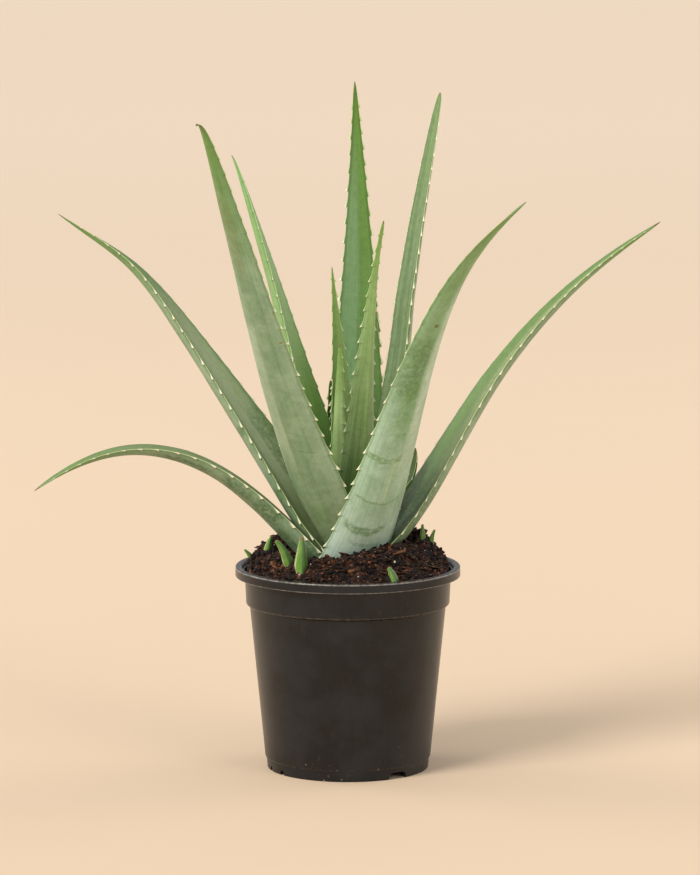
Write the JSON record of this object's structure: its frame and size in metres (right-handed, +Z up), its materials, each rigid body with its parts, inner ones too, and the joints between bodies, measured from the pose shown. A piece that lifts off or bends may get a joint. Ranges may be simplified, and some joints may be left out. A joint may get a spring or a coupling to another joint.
{
  "type": "potted aloe plant",
  "caption": "Aloe with thick channelled leaves and toothed margins, and young shoots round it, in soil in a tapered round nursery pot with a rolled rim.",
  "frame": {"origin": "middle of the pot's underside, on the surface it stands on", "axes": "+Z up; +Y from the front that the picture shows to the back; +X to the right as seen from the front"},
  "size_m": [0.4727, 0.2381, 0.516],
  "materials": {
    "leaf_sage": "satin",
    "leaf_glaucous": "satin",
    "leaf_green": "satin",
    "shoot": "satin",
    "stem": "matte",
    "soil": "matte",
    "pot_plastic": "satin"
  },
  "bodies": {
    "root": {"leaf_low_left": "leaf_sage", "leaf_left": "leaf_sage", "leaf_right": "leaf_sage", "leaf_front_left": "leaf_sage", "leaf_front_right": "leaf_glaucous", "leaf_back_right": "leaf_glaucous", "leaf_short_right": "leaf_green", "leaf_hidden_left": "leaf_green", "leaf_back_left": "leaf_green", "leaf_tall_back": "leaf_green", "leaf_inner_right": "leaf_green", "leaf_front_centre": "leaf_green", "leaf_inner_left": "leaf_green", "leaf_young": "leaf_green", "pup_far_left": "shoot", "pup_back_left": "shoot", "pup_leaning": "shoot", "pup_tallest": "shoot", "pup_front_right": "shoot", "pup_back_right": "shoot", "pup_far_right": "shoot", "stem": "stem", "soil": "soil", "pot": "pot_plastic"}
  },
  "joints": []
}
